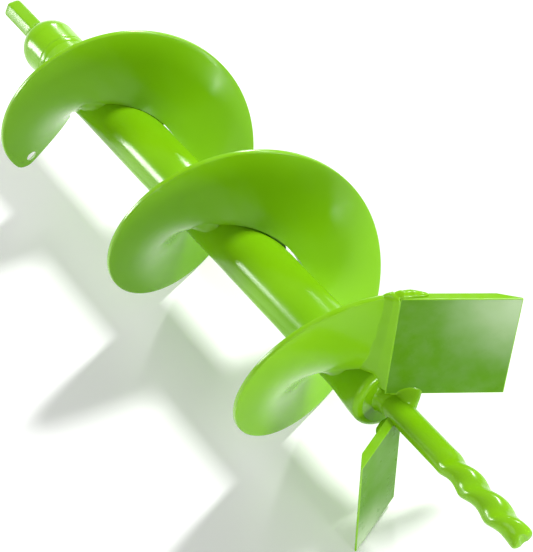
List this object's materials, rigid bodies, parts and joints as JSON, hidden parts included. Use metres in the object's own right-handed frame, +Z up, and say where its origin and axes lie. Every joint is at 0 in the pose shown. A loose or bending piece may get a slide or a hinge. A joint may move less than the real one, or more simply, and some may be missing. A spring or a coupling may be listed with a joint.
{
  "type": "soil auger",
  "caption": "Drill-driven soil auger: hex shank, domed tube with a left-hand spiral flight, two flat cutters and a twisted pilot point.",
  "frame": {"origin": "centre of the underside of the box that holds the auger as it lies on a flat floor", "axes": "+X along the auger's axis towards the pilot point, +Z up from the floor it lies on"},
  "size_m": [0.3332, 0.0836, 0.08],
  "materials": {
    "powder_coat": "gloss"
  },
  "bodies": {
    "root": {"hex_shank": "powder_coat", "shank_weld": "powder_coat", "domed_cap": "powder_coat", "cap_seam_weld": "powder_coat", "centre_tube": "powder_coat", "spiral_flight": "powder_coat", "flight_start_weld": "powder_coat", "upper_stitch_weld_1": "powder_coat", "upper_stitch_weld_2": "powder_coat", "upper_stitch_weld_3": "powder_coat", "upper_stitch_weld_4": "powder_coat", "lower_stitch_weld_1": "powder_coat", "lower_stitch_weld_2": "powder_coat", "lower_stitch_weld_3": "powder_coat", "lower_stitch_weld_4": "powder_coat", "lower_stitch_weld_5": "powder_coat", "end_disc": "powder_coat", "disc_seam_weld": "powder_coat", "pilot_point": "powder_coat", "pilot_base_weld": "powder_coat", "main_cutter": "powder_coat", "main_cutter_flight_weld": "powder_coat", "main_cutter_tube_weld": "powder_coat", "main_cutter_pilot_weld": "powder_coat", "side_cutter": "powder_coat", "side_cutter_weld": "powder_coat"}
  },
  "joints": []
}
